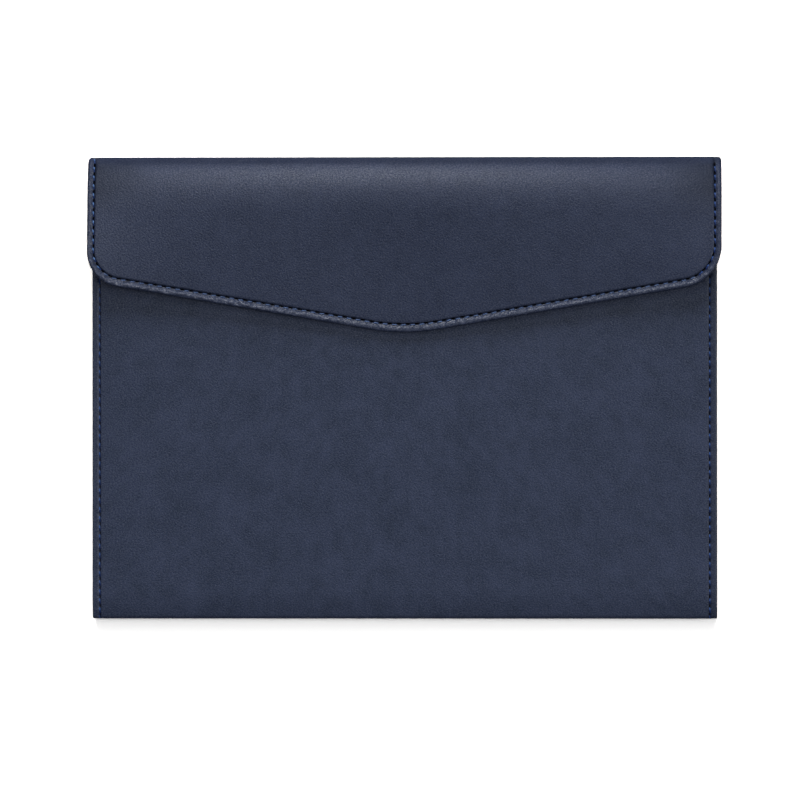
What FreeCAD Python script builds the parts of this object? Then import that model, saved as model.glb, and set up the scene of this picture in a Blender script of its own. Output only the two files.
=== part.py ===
import FreeCAD, Part
import math
import os
import Sketcher

# Soft envelope sleeve with a fold-over flap.
# X is the width, Y runs from the bottom fold up to the top edge, Z from the back to the flap.
# The sleeve lies on its back, and the origin is the middle of the box it fills, at the bottom.

os.makedirs("parts", exist_ok=True)
doc = FreeCAD.newDocument("envelope_sleeve")
V = FreeCAD.Vector

# Driving sizes, in millimetres
SIZES = {
    "sleeve_width": 276,
    "sleeve_height": 204,
    "flap_width": 280,
    "flap_side": 54.5,
    "flap_point": 78,
    "flap_corner_radius": 14,
    "flap_point_radius": 90,
    "flap_edge_radius": 1.2,
    "leather": 0.9,
    "padding": 1.5,
    "lining": 0.5,
    "pocket_depth": 6.6,
    "flap_gap": 0.5,
    "mouth_setback": 20,
    "hem_width": 10,
    "fold_radius": 5.75,
    "roll_length": 16,
    "crease_radius": 4,
    "crease_margin": 2,
    "spine_depth": 5.6,
    "lead_length": 25,
    "lining_margin": 10.5,
    "lining_clearance": 0.1,
    "lining_fold": 6.5,
    "gusset_leather": 0.8,
    "gusset_flange": 4.5,
    "gusset_depth": 10,
    "seam_inset": 3.2,
    "flap_seam_inset": 3,
    "groove_width": 1.4,
    "groove_depth": 0.5,
    "stitch_pitch": 4,
    "stitch_length": 2.9,
    "stitch_width": 0.8,
    "stitch_height": 0.45,
    "stitch_slant": 8,
    "magnet_diameter": 14,
    "magnet_clearance": 0.2,
    "magnet_spread": 110,
    "magnet_height": 46,
}

sheet = doc.addObject("Spreadsheet::Sheet", "dims")
for row, (alias, value) in enumerate(SIZES.items(), start=1):
    sheet.set(f"A{row}", alias)
    sheet.set(f"B{row}", str(value))
    sheet.setAlias(f"B{row}", alias)
doc.recompute()


def size(alias):
    return float(sheet.get(alias))


# Levels shared by many pieces, as expressions on the sheet
WALL = "(dims.leather + dims.padding + dims.lining)"
TOP = "(dims.sleeve_height / 2)"
FRONT_Z = f"(2 * {WALL} + dims.pocket_depth)"
FLAP_Z = f"({FRONT_Z} + dims.flap_gap)"
FLAP_TOP_Z = f"({FLAP_Z} + {WALL})"
MOUTH_Y = f"({TOP} - dims.mouth_setback)"
HEM_RADIUS = "(dims.leather + dims.padding / 2)"
HEM_Y = f"({MOUTH_Y} - {HEM_RADIUS})"
LEAD_Y = f"({TOP} - dims.lead_length)"
CREASE_Y = f"({TOP} - dims.crease_radius)"
BACK_END_Y = f"({CREASE_Y} - dims.crease_margin)"
CREASE_Z = "(dims.crease_radius + dims.spine_depth)"
BEHIND_LEATHER = "(dims.leather + dims.padding)"
LINING_WIDTH = "(dims.sleeve_width - 2 * dims.lining_margin)"

# The same levels as numbers, for the first drawing of each sketch
wall = size("leather") + size("padding") + size("lining")
behind_leather = size("leather") + size("padding")
top = size("sleeve_height") / 2
front_z = 2 * wall + size("pocket_depth")
flap_z = front_z + size("flap_gap")
flap_top_z = flap_z + wall
mouth_y = top - size("mouth_setback")
hem_radius = size("leather") + size("padding") / 2
hem_y = mouth_y - hem_radius
lead_y = top - size("lead_length")
crease_radius = size("crease_radius")
crease_y = top - crease_radius
back_end_y = crease_y - size("crease_margin")
crease_z = crease_radius + size("spine_depth")
fold_radius = size("fold_radius")
fold_y = fold_radius - top
roll_y = size("roll_length") - top

# Cross-section sketches draw Y to the right and Z up; gusset sketches draw X to the right and Z up
SIDE_VIEW = FreeCAD.Placement(V(0, 0, 0), FreeCAD.Rotation(V(1, 1, 1), 120))
END_VIEW = FreeCAD.Placement(V(0, 0, 0), FreeCAD.Rotation(V(1, 0, 0), 90))
PLAN_VIEW = FreeCAD.Placement()
START, END, CENTRE = 1, 2, 3
X_AXIS, Y_AXIS = -1, -2


def line(a, b):
    return Part.LineSegment(V(a[0], a[1], 0), V(b[0], b[1], 0))


def arc(centre, radius, first, last):
    circle = Part.Circle(V(centre[0], centre[1], 0), V(0, 0, 1), radius)
    return Part.ArcOfCircle(circle, math.radians(first), math.radians(last))


def chain(name, view, pieces, closed=False):
    """A sketch of lines and counter-clockwise arcs, each tangent to the next where an arc is met."""
    sketch = doc.addObject("Sketcher::SketchObject", name)
    sketch.Placement = view
    for piece in pieces:
        sketch.addGeometry(piece)
    last = len(pieces) if closed else len(pieces) - 1
    for first in range(last):
        second = (first + 1) % len(pieces)
        pair = (pieces[first], pieces[second])
        both_lines = all(isinstance(piece, Part.LineSegment) for piece in pair)
        kind = "Coincident" if both_lines else "Tangent"
        sketch.addConstraint(Sketcher.Constraint(kind, first, END, second, START))
    return sketch


def across(sketch, index, point, expression):
    """Set a point's distance to the right of the origin."""
    measure(sketch, "DistanceX", index, point, expression)


def above(sketch, index, point, expression):
    """Set a point's distance above the origin."""
    measure(sketch, "DistanceY", index, point, expression)


def measure(sketch, kind, index, point, expression):
    place = sketch.getPoint(index, point)
    value = place.x if kind == "DistanceX" else place.y
    made = sketch.addConstraint(Sketcher.Constraint(kind, X_AXIS, START, index, point, value))
    name_constraint(sketch, made, expression)


def radius(sketch, index, expression):
    made = sketch.addConstraint(Sketcher.Constraint("Radius", index, sketch.Geometry[index].Radius))
    name_constraint(sketch, made, expression)


def name_constraint(sketch, made, expression):
    name = f"size_{made}"
    sketch.renameConstraint(made, name)
    sketch.setExpression(f"Constraints.{name}", expression)


def level(sketch, *lines):
    for index in lines:
        sketch.addConstraint(Sketcher.Constraint("Horizontal", index))


def upright(sketch, *lines):
    for index in lines:
        sketch.addConstraint(Sketcher.Constraint("Vertical", index))


def feature(kind, name, links=None, **expressions):
    """A document object with its links set and its sizes bound to the sheet."""
    made = doc.addObject(kind, name)
    for prop, value in (links or {}).items():
        setattr(made, prop, value)
    for prop, expression in expressions.items():
        made.setExpression(prop.replace("_", "."), expression)
    return made


def offset(name, source, distance, fill=False, closed=False):
    """A path moved sideways, or with fill the strip between both paths."""
    links = {"Source": source, "Fill": fill, "Mode": "Pipe" if closed else "Skin", "Join": "Intersection"}
    return feature("Part::Offset2D", name, links, Value=distance)


def prism(name, base, direction, length, symmetric=False):
    links = {"Base": base, "DirMode": "Custom", "Dir": direction, "Solid": True, "Symmetric": symmetric}
    return feature("Part::Extrusion", name, links, LengthFwd=length)


def block(name, x, y, z, length, width, height):
    """A box from its low corner and its sides, all as expressions."""
    made = feature("Part::Box", name, Length=length, Width=width, Height=height)
    place(made, x, y, z)
    return made


def place(item, x="0", y="0", z="0"):
    for axis, expression in zip("xyz", (x, y, z)):
        item.setExpression(f"Placement.Base.{axis}", expression)


def cut(name, base, tool):
    return feature("Part::Cut", name, {"Base": base, "Tool": tool})


def common(name, base, tool):
    return feature("Part::Common", name, {"Base": base, "Tool": tool})


def cut_all(name, base, tools):
    for index, tool in enumerate(tools, start=1):
        label = name if index == len(tools) else f"{name}_cut_{index}"
        base = cut(label, base, tool)
    return base


def sheet_strip(name, path, thickness, width, depth="0"):
    """A bent sheet as wide as asked, lying inside its path at the given depth."""
    outer = path if depth == "0" else offset(f"{name}_path", path, f"-({depth})")
    section = offset(f"{name}_section", outer, f"-({thickness})", fill=True)
    return prism(name, section, V(1, 0, 0), width, symmetric=True)


nodes = {}


def node(label, item):
    item.Label = label
    nodes[label] = item
    return item


def roll_tilt(drop, run):
    """The tilt at which a gentle roll of this drop and run meets the tight bend after it."""
    return 2 * math.atan2(drop, run)


# Outer wrap: hem at the mouth, front panel, gentle roll, round bottom fold and back panel
def wrap_path():
    tilt = roll_tilt(front_z - 2 * fold_radius, roll_y - fold_y)
    roll_radius = (roll_y - fold_y) / math.sin(tilt) + fold_radius
    turn = 90 + math.degrees(tilt)
    hem_z = front_z - 2 * hem_radius
    pieces = [
        line((hem_y - size("hem_width"), hem_z), (hem_y, hem_z)),
        arc((hem_y, front_z - hem_radius), hem_radius, -90, 90),
        line((hem_y, front_z), (roll_y, front_z)),
        arc((roll_y, front_z - roll_radius), roll_radius, 90, turn),
        arc((fold_y, fold_radius), fold_radius, turn, 270),
        line((fold_y, 0), (back_end_y, 0)),
    ]
    sketch = chain("wrap_path", SIDE_VIEW, pieces)
    level(sketch, 0, 2, 5)
    sketch.addConstraint(Sketcher.Constraint("PointOnObject", 5, END, X_AXIS))
    across(sketch, 0, START, f"{HEM_Y} - dims.hem_width")
    radius(sketch, 1, HEM_RADIUS)
    across(sketch, 1, CENTRE, HEM_Y)
    above(sketch, 2, START, FRONT_Z)
    across(sketch, 2, END, f"dims.roll_length - {TOP}")
    radius(sketch, 4, "dims.fold_radius")
    across(sketch, 4, CENTRE, f"dims.fold_radius - {TOP}")
    across(sketch, 5, END, BACK_END_Y)
    return sketch


# Space inside the wrap's leather, which trims the gussets at the bottom fold
def wrap_inside():
    thick = size("leather")
    tilt = roll_tilt(front_z - 2 * fold_radius, roll_y - fold_y)
    roll_radius = (roll_y - fold_y) / math.sin(tilt) + fold_radius
    turn = 90 + math.degrees(tilt)
    pieces = [
        line((hem_y, front_z - thick), (roll_y, front_z - thick)),
        arc((roll_y, front_z - roll_radius), roll_radius - thick, 90, turn),
        arc((fold_y, fold_radius), fold_radius - thick, turn, 270),
        line((fold_y, thick), (hem_y, thick)),
        line((hem_y, thick), (hem_y, front_z - thick)),
    ]
    sketch = chain("wrap_inside_section", SIDE_VIEW, pieces, closed=True)
    level(sketch, 0, 3)
    upright(sketch, 4)
    across(sketch, 0, START, HEM_Y)
    above(sketch, 0, START, f"{FRONT_Z} - dims.leather")
    across(sketch, 0, END, f"dims.roll_length - {TOP}")
    radius(sketch, 2, "dims.fold_radius - dims.leather")
    across(sketch, 2, CENTRE, f"dims.fold_radius - {TOP}")
    above(sketch, 3, START, "dims.leather")
    return prism("wrap_inside", sketch, V(1, 0, 0), "dims.sleeve_width", symmetric=True)


def seam_groove(name, path, side):
    """A shallow channel for one side seam, all the way along a bent sheet's outer face."""
    section = offset(f"{name}_section", path, "-dims.groove_depth", fill=True)
    groove = prism(name, section, V(1, 0, 0), "dims.groove_width", symmetric=True)
    place(groove, f"{side} * (dims.sleeve_width / 2 - dims.seam_inset)")
    return groove


def outer_wrap(path):
    band = sheet_strip("wrap_band", path, "dims.leather", "dims.sleeve_width")
    notch_x = "dims.sleeve_width / 2 - dims.lining_margin"
    notch = {
        "y": f"{HEM_Y} - 2 * dims.hem_width",
        "z": f"{FRONT_Z} - 2 * {HEM_RADIUS} - 1",
        "length": "dims.lining_margin",
        "width": "4 * dims.hem_width",
        "height": f"2 * {HEM_RADIUS} + 1 - dims.leather",
    }
    tools = [
        block("hem_notch_right", notch_x, **notch),
        block("hem_notch_left", "-dims.sleeve_width / 2", **notch),
        seam_groove("groove_left", path, -1),
        seam_groove("groove_right", path, 1),
        block(
            "mouth_groove",
            f"-{LINING_WIDTH} / 2",
            f"{MOUTH_Y} - dims.seam_inset - dims.groove_width / 2",
            f"{FRONT_Z} - dims.groove_depth",
            LINING_WIDTH,
            "dims.groove_width",
            "2 * dims.groove_depth",
        ),
    ]
    return node("outer_wrap", cut_all("wrap_finished", band, tools))


# Pocket lining: a U of thin cloth that starts below the hem and ends at the back crease
def pocket_lining():
    low = behind_leather
    high = front_z - behind_leather
    bend = (high - low) / 2
    bend_y = size("lining_fold") - top
    start_y = hem_y - size("hem_width")
    pieces = [
        line((start_y, high), (bend_y, high)),
        arc((bend_y, low + bend), bend, 90, 270),
        line((bend_y, low), (back_end_y, low)),
    ]
    sketch = chain("lining_path", SIDE_VIEW, pieces)
    level(sketch, 0, 2)
    across(sketch, 0, START, f"{HEM_Y} - dims.hem_width")
    above(sketch, 0, START, f"{FRONT_Z} - {BEHIND_LEATHER}")
    across(sketch, 1, CENTRE, f"dims.lining_fold - {TOP}")
    above(sketch, 2, END, BEHIND_LEATHER)
    across(sketch, 2, END, BACK_END_Y)
    return node("pocket_lining", sheet_strip("lining_u", sketch, "dims.lining", LINING_WIDTH))


# Padding boards, each a plain sheet of foam; the front one has two holes for the magnets
def xy_plane(body):
    for item in body.Origin.OriginFeatures:
        if item.Role == "XY_Plane":
            return item
    return None


def plan_sketch(body, name):
    sketch = body.newObject("Sketcher::SketchObject", name)
    sketch.AttachmentSupport = [(xy_plane(body), "")]
    sketch.MapMode = "FlatFace"
    return sketch


def rectangle(sketch, half_width, low, high):
    corners = [(-half_width, low), (half_width, low), (half_width, high), (-half_width, high)]
    for index in range(4):
        sketch.addGeometry(line(corners[index], corners[(index + 1) % 4]))
    for index in range(4):
        sketch.addConstraint(Sketcher.Constraint("Coincident", index, END, (index + 1) % 4, START))
    level(sketch, 0, 2)
    upright(sketch, 1, 3)


def padding_board(label, width, low, high, z, half_width, low_value, high_value, holes):
    body = doc.addObject("PartDesign::Body", f"{label}_body")
    outline = plan_sketch(body, f"{label}_outline")
    rectangle(outline, half_width, low_value, high_value)
    across(outline, 0, START, f"-({width}) / 2")
    above(outline, 0, START, low)
    across(outline, 2, START, f"({width}) / 2")
    above(outline, 2, START, high)
    pad = body.newObject("PartDesign::Pad", f"{label}_pad")
    pad.Profile = outline
    pad.setExpression("Length", "dims.padding")
    if holes:
        hole_sketch = plan_sketch(body, f"{label}_holes")
        for index, side in enumerate((-1, 1)):
            centre = V(side * size("magnet_spread") / 2, size("magnet_height"), 0)
            hole_radius = (size("magnet_diameter") + size("magnet_clearance")) / 2
            hole_sketch.addGeometry(Part.Circle(centre, V(0, 0, 1), hole_radius))
            radius(hole_sketch, index, "(dims.magnet_diameter + dims.magnet_clearance) / 2")
            across(hole_sketch, index, CENTRE, f"{side} * dims.magnet_spread / 2")
            above(hole_sketch, index, CENTRE, "dims.magnet_height")
        pocket = body.newObject("PartDesign::Pocket", f"{label}_magnet_holes")
        pocket.Profile = hole_sketch
        pocket.Type = "ThroughAll"
        pocket.Midplane = True
    place(body, z=z)
    return node(label, body)


def magnet(label, side, z):
    body = doc.addObject("PartDesign::Body", f"{label}_body")
    outline = plan_sketch(body, f"{label}_outline")
    outline.addGeometry(Part.Circle(V(0, 0, 0), V(0, 0, 1), size("magnet_diameter") / 2))
    outline.addConstraint(Sketcher.Constraint("Coincident", 0, CENTRE, X_AXIS, START))
    radius(outline, 0, "dims.magnet_diameter / 2")
    pad = body.newObject("PartDesign::Pad", f"{label}_pad")
    pad.Profile = outline
    pad.setExpression("Length", "dims.padding")
    place(body, f"{side} * dims.magnet_spread / 2", "dims.magnet_height", z)
    return node(label, body)


# Gussets: a strip folded inwards, with one flange under the front and one on the back
def gussets(inside):
    half = size("sleeve_width") / 2
    low = size("leather")
    high = front_z - size("leather")
    flange_x = half - size("gusset_flange")
    corners = [
        (half, high),
        (flange_x, high),
        (half - size("gusset_depth"), (high + low) / 2),
        (flange_x, low),
        (half, low),
    ]
    sketch = doc.addObject("Sketcher::SketchObject", "gusset_path")
    sketch.Placement = END_VIEW
    for index in range(4):
        sketch.addGeometry(line(corners[index], corners[index + 1]))
    for index in range(3):
        sketch.addConstraint(Sketcher.Constraint("Coincident", index, END, index + 1, START))
    level(sketch, 0, 3)
    across(sketch, 0, START, "dims.sleeve_width / 2")
    above(sketch, 0, START, f"{FRONT_Z} - dims.leather")
    across(sketch, 0, END, "dims.sleeve_width / 2 - dims.gusset_flange")
    across(sketch, 1, END, "dims.sleeve_width / 2 - dims.gusset_depth")
    above(sketch, 1, END, f"{FRONT_Z} / 2")
    across(sketch, 3, START, "dims.sleeve_width / 2 - dims.gusset_flange")
    across(sketch, 3, END, "dims.sleeve_width / 2")
    above(sketch, 3, END, "dims.leather")
    section = offset("gusset_section", sketch, "dims.gusset_leather", fill=True)
    strip = prism("gusset_strip", section, V(0, 1, 0), "dims.sleeve_height", symmetric=True)
    right = node("right_gusset", common("gusset_trimmed", strip, inside))
    links = {"Source": right, "Normal": V(1, 0, 0)}
    node("left_gusset", feature("Part::Mirroring", "gusset_mirrored", links))


# Top edge: crease from the back to the spine, the narrow spine, and the crease into the flap
def back_crease_path():
    pieces = [
        line((back_end_y, 0), (crease_y, 0)),
        arc((crease_y, crease_radius), crease_radius, 270, 360),
    ]
    sketch = chain("back_crease_path", SIDE_VIEW, pieces)
    level(sketch, 0)
    sketch.addConstraint(Sketcher.Constraint("PointOnObject", 0, START, X_AXIS))
    across(sketch, 0, START, BACK_END_Y)
    radius(sketch, 1, "dims.crease_radius")
    across(sketch, 1, CENTRE, CREASE_Y)
    above(sketch, 1, END, "dims.crease_radius")
    return sketch


def flap_crease_path():
    tilt = roll_tilt(flap_top_z - crease_z - crease_radius, crease_y - lead_y)
    lead_radius = (crease_y - lead_y) / math.sin(tilt) + crease_radius
    turn = 90 - math.degrees(tilt)
    pieces = [
        arc((crease_y, crease_z), crease_radius, 0, turn),
        arc((lead_y, flap_top_z - lead_radius), lead_radius, turn, 90),
    ]
    sketch = chain("flap_crease_path", SIDE_VIEW, pieces)
    radius(sketch, 0, "dims.crease_radius")
    across(sketch, 0, CENTRE, CREASE_Y)
    above(sketch, 0, CENTRE, CREASE_Z)
    above(sketch, 0, START, CREASE_Z)
    across(sketch, 1, CENTRE, LEAD_Y)
    across(sketch, 1, END, LEAD_Y)
    above(sketch, 1, END, FLAP_TOP_Z)
    return sketch


def spine_layer(part, depth, thickness, width):
    """A flat strip of the spine, at the given depth behind its outer face."""
    return block(
        f"spine_{part}", f"-({width}) / 2", f"{TOP} - ({depth}) - ({thickness})", "dims.crease_radius",
        width, thickness, "dims.spine_depth",
    )


def edged_leather(layer):
    """Leather with its two side edges turned in, made from a function that draws one layer of it."""
    inner_width = "dims.flap_width - 2 * dims.leather"
    whole = layer("whole", "0", WALL, "dims.flap_width")
    inner = layer("inner", "dims.leather", "dims.padding + dims.lining", inner_width)
    return cut(f"{whole.Name}_edged", whole, inner)


def top_edge():
    lining_width = "dims.flap_width - 2 * (dims.leather + dims.lining_clearance)"
    for name, path in (("back_crease", back_crease_path()), ("flap_crease", flap_crease_path())):
        def crease_layer(part, depth, thickness, width, name=name, path=path):
            return sheet_strip(f"{name}_{part}", path, thickness, width, depth)

        node(name, edged_leather(crease_layer))
        node(f"{name}_lining", crease_layer("cloth", BEHIND_LEATHER, "dims.lining", lining_width))

    node("spine_leather", edged_leather(spine_layer))
    node("spine_board", spine_layer("board", "dims.leather", "dims.padding", lining_width))
    node("spine_lining", spine_layer("cloth", BEHIND_LEATHER, "dims.lining", lining_width))


# Flap: a shallow leather tray with a rolled edge, a board in it and a lining flush with its rim
def flap_outline():
    half = size("flap_width") / 2
    corner_y = top - size("flap_side")
    point_y = top - size("flap_point")
    slope = math.atan2(corner_y - point_y, half)
    slope_deg = math.degrees(slope)
    corner_radius = size("flap_corner_radius")
    point_radius = size("flap_point_radius")
    reach = corner_radius * math.tan((math.pi / 2 - slope) / 2)
    corner_x = half - corner_radius
    side_end = corner_y + reach
    slope_x = half - reach * math.cos(slope)
    slope_y = corner_y - reach * math.sin(slope)
    tip_x = point_radius * math.sin(slope)
    tip_y = point_y + tip_x * math.tan(slope)
    tip_centre = point_y + point_radius / math.cos(slope)
    pieces = [
        line((half, top), (-half, top)),
        line((-half, top), (-half, side_end)),
        arc((-corner_x, side_end), corner_radius, 180, 270 - slope_deg),
        line((-slope_x, slope_y), (-tip_x, tip_y)),
        arc((0, tip_centre), point_radius, 270 - slope_deg, 270 + slope_deg),
        line((tip_x, tip_y), (slope_x, slope_y)),
        arc((corner_x, side_end), corner_radius, 270 + slope_deg, 360),
        line((half, side_end), (half, top)),
    ]
    sketch = chain("flap_outline", PLAN_VIEW, pieces, closed=True)
    level(sketch, 0)
    upright(sketch, 1, 7)
    sketch.addConstraint(Sketcher.Constraint("PointOnObject", 4, CENTRE, Y_AXIS))
    across(sketch, 0, START, "dims.flap_width / 2")
    across(sketch, 0, END, "-dims.flap_width / 2")
    above(sketch, 0, START, TOP)
    for index in (2, 6):
        radius(sketch, index, "dims.flap_corner_radius")
    radius(sketch, 4, "dims.flap_point_radius")
    tip = sketch.addGeometry(Part.Point(V(0, point_y, 0)), True)
    right = sketch.addGeometry(Part.Point(V(half, corner_y, 0)), True)
    sketch.addConstraint(Sketcher.Constraint("PointOnObject", tip, START, Y_AXIS))
    sketch.addConstraint(Sketcher.Constraint("PointOnObject", tip, START, 5))
    sketch.addConstraint(Sketcher.Constraint("PointOnObject", tip, START, 3))
    sketch.addConstraint(Sketcher.Constraint("PointOnObject", right, START, 5))
    sketch.addConstraint(Sketcher.Constraint("PointOnObject", right, START, 7))
    above(sketch, tip, START, f"{TOP} - dims.flap_point")
    above(sketch, right, START, f"{TOP} - dims.flap_side")
    return sketch


def flap_layer(name, outline, inset, z, thickness):
    """A flat sheet of the flap's outline, moved in from the edge by the given distance."""
    base = outline if inset == "0" else offset(f"{name}_outline", outline, f"-({inset})", closed=True)
    layer = prism(name, base, V(0, 0, 1), thickness)
    place(layer, z=z)
    return layer


def rolled_edges(shape):
    """Numbers of the upper outline's edges, all but the one along the top."""
    found = []
    for number, edge in enumerate(shape.Edges, start=1):
        points = [vertex.Point for vertex in edge.Vertexes]
        on_top_face = all(abs(point.z - flap_top_z) < 1e-6 for point in points)
        along_top = all(abs(point.y - top) < 1e-6 for point in points)
        if on_top_face and not along_top:
            found.append(number)
    return found


def flap():
    outline = flap_outline()
    slab = flap_layer("flap_slab", outline, "0", FLAP_Z, WALL)
    doc.recompute()
    rolled = doc.addObject("Part::Fillet", "flap_rolled")
    rolled.Base = slab
    edge_radius = size("flap_edge_radius")
    rolled.Edges = [(number, edge_radius, edge_radius) for number in rolled_edges(slab.Shape)]
    below = block(
        "below_the_lead", "-dims.flap_width", f"-{TOP}", f"{FLAP_Z} - dims.padding",
        "2 * dims.flap_width", f"{TOP} + {LEAD_Y}", f"2 * {WALL}",
    )
    hollow = flap_layer("flap_hollow", outline, "dims.leather", FLAP_Z, "dims.padding + dims.lining")
    groove_z = f"{FLAP_TOP_Z} - dims.groove_depth"
    walls = []
    for name, sign in (("outer", "-"), ("inner", "+")):
        wall_inset = f"dims.flap_seam_inset {sign} dims.groove_width / 2"
        walls.append(flap_layer(f"groove_{name}", outline, wall_inset, groove_z, "dims.leather"))
    groove = cut("flap_groove", *walls)
    tray = cut_all("flap_tray", rolled, [hollow, groove])
    node("flap_leather", common("flap_shell", tray, below))

    inset = "dims.leather + dims.lining_clearance"
    cloth = flap_layer("flap_cloth", outline, inset, FLAP_Z, "dims.lining")
    node("flap_lining", common("flap_cloth_trimmed", cloth, below))
    board = flap_layer("flap_stiffener", outline, inset, f"{FLAP_Z} + dims.lining", "dims.padding")
    board = common("flap_board_trimmed", board, below)
    holes = []
    for side, name in ((-1, "left"), (1, "right")):
        hole = feature(
            "Part::Cylinder", f"flap_board_hole_{name}",
            Radius="(dims.magnet_diameter + dims.magnet_clearance) / 2", Height="dims.padding",
        )
        place(hole, f"{side} * dims.magnet_spread / 2", "dims.magnet_height", f"{FLAP_Z} + dims.lining")
        holes.append(hole)
    node("flap_board", cut_all("flap_board_holed", board, holes))
    return outline


# Stitches: short slanted bars of thread lying in the seam grooves
def stitch(centre, along, outward):
    """One bar of thread, resting on the groove's floor below a point of the surface."""
    sideways = outward.cross(along)
    length, width, height = size("stitch_length"), size("stitch_width"), size("stitch_height")
    turn = FreeCAD.Rotation(along, sideways, outward, "ZXY")
    slant = FreeCAD.Rotation(V(0, 0, 1), size("stitch_slant"))
    bar = Part.makeBox(length, width, height, V(-length / 2, -width / 2, -size("groove_depth")))
    bar.Placement = FreeCAD.Placement(centre, turn.multiply(slant))
    return bar


def stitch_row(start, finish, outward):
    """Stitches at an even pitch on a straight line, with half a pitch left at each end."""
    run = finish - start
    count = int(run.Length / size("stitch_pitch"))
    along = V(run).normalize()
    step = run.Length / count
    return [stitch(start + along * (step * (index + 0.5)), along, outward) for index in range(count)]


def stitch_node(label, bars):
    item = doc.addObject("Part::Feature", f"{label}_bars")
    item.Shape = Part.makeCompound(bars)
    return node(label, item)


def flap_stitches(outline):
    seam = offset("flap_seam", outline, "-dims.flap_seam_inset", closed=True)
    doc.recompute()
    wire = Part.Wire(Part.sortEdges(seam.Shape.Edges)[0])
    count = int(wire.Length / size("stitch_pitch"))
    points = wire.discretize(Number=count)
    bars = []
    for index in range(1, count - 1):
        along = (points[index + 1] - points[index - 1]).normalize()
        if points[index].y < lead_y - size("stitch_length"):
            bars.append(stitch(points[index] + V(0, 0, flap_top_z), along, V(0, 0, 1)))
    stitch_node("flap_stitches", bars)


def seam_stitches():
    seam_x = size("sleeve_width") / 2 - size("seam_inset")
    for side, name in ((-1, "left"), (1, "right")):
        x = side * seam_x
        front = stitch_row(V(x, hem_y, front_z), V(x, roll_y, front_z), V(0, 0, 1))
        back = stitch_row(V(x, fold_y, 0), V(x, back_end_y, 0), V(0, 0, -1))
        stitch_node(f"{name}_seam_stitches", front + back)
    hem_x = size("sleeve_width") / 2 - size("lining_margin")
    hem_seam_y = mouth_y - size("seam_inset")
    stitch_node(
        "mouth_stitches",
        stitch_row(V(-hem_x, hem_seam_y, front_z), V(hem_x, hem_seam_y, front_z), V(0, 0, 1)),
    )


# Build every piece
outer_wrap(wrap_path())
pocket_lining()
padding_board(
    "front_padding", LINING_WIDTH, f"dims.roll_length - {TOP}", HEM_Y, f"{FRONT_Z} - {BEHIND_LEATHER}",
    size("sleeve_width") / 2 - size("lining_margin"), roll_y, hem_y, holes=True,
)
padding_board(
    "back_padding", LINING_WIDTH, f"dims.lining_fold - {TOP}", BACK_END_Y, "dims.leather",
    size("sleeve_width") / 2 - size("lining_margin"), size("lining_fold") - top, back_end_y, holes=False,
)
for side, name in ((-1, "left"), (1, "right")):
    magnet(f"front_magnet_{name}", side, f"{FRONT_Z} - {BEHIND_LEATHER}")
    magnet(f"flap_magnet_{name}", side, f"{FLAP_Z} + dims.lining")
gussets(wrap_inside())
top_edge()
outline = flap()
seam_stitches()
flap_stitches(outline)
doc.recompute()

# Check every object, then write one file for each piece
for item in doc.Objects:
    if "Invalid" in item.State or "Error" in item.State:
        raise RuntimeError(f"{item.Label} did not compute: {item.State}")
for label, item in nodes.items():
    shape = item.Shape
    if shape.isNull() or not shape.isValid() or not shape.Solids:
        raise RuntimeError(f"{label} has no valid solid")
    shape.exportStep(f"parts/{label}.step")
    box = shape.optimalBoundingBox()
    print(f"{label}: {len(shape.Solids)} solid(s), {shape.Volume:.0f} mm3, "
          f"x {box.XMin:.2f} to {box.XMax:.2f}, y {box.YMin:.2f} to {box.YMax:.2f}, "
          f"z {box.ZMin:.2f} to {box.ZMax:.2f}")
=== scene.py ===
# %% [markdown]
# # An envelope sleeve in navy leather
# The real object is a slim sleeve: one wrap of soft leather, a wide flap over the front, and seams in blue
# thread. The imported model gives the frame: the sleeve lies on its back, X across, Y up to the top edge, Z
# towards the flap. Its solids could just be coloured, but leather shows its folds, seams and grain. So
# leather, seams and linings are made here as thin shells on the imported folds.

# %% Load the frame
import functools
import math

import bpy
import numpy as np
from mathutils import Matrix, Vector
from mathutils.geometry import delaunay_2d_cdt


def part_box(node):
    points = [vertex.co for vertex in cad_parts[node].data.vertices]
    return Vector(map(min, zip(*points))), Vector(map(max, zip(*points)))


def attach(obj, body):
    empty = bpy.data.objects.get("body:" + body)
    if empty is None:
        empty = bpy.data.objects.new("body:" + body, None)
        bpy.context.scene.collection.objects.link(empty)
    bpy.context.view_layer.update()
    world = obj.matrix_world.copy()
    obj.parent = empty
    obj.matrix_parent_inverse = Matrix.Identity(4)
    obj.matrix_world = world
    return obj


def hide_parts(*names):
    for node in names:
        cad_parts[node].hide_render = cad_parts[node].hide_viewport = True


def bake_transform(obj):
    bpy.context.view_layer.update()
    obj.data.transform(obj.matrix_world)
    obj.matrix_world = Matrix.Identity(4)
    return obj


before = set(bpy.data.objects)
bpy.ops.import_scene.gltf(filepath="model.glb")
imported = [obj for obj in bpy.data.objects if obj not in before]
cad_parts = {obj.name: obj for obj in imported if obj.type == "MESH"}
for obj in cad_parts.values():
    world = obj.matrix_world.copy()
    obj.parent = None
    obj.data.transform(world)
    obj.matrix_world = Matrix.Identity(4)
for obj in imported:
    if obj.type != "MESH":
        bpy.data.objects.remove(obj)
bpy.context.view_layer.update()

# %% [markdown]
# ## Sizes
# A sleeve is a stack of sheets, so its sizes are levels, folds and thicknesses. Typed in again, they could
# drift from the solids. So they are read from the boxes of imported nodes, as far as a box shows them.

# %% Levels from the frame
MM = 0.001
wrap_low, wrap_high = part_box("outer_wrap")
spine_low, spine_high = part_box("spine_leather")
flap_low, flap_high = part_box("flap_leather")
lining_low, lining_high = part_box("pocket_lining")
padding_low, padding_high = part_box("front_padding")

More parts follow.
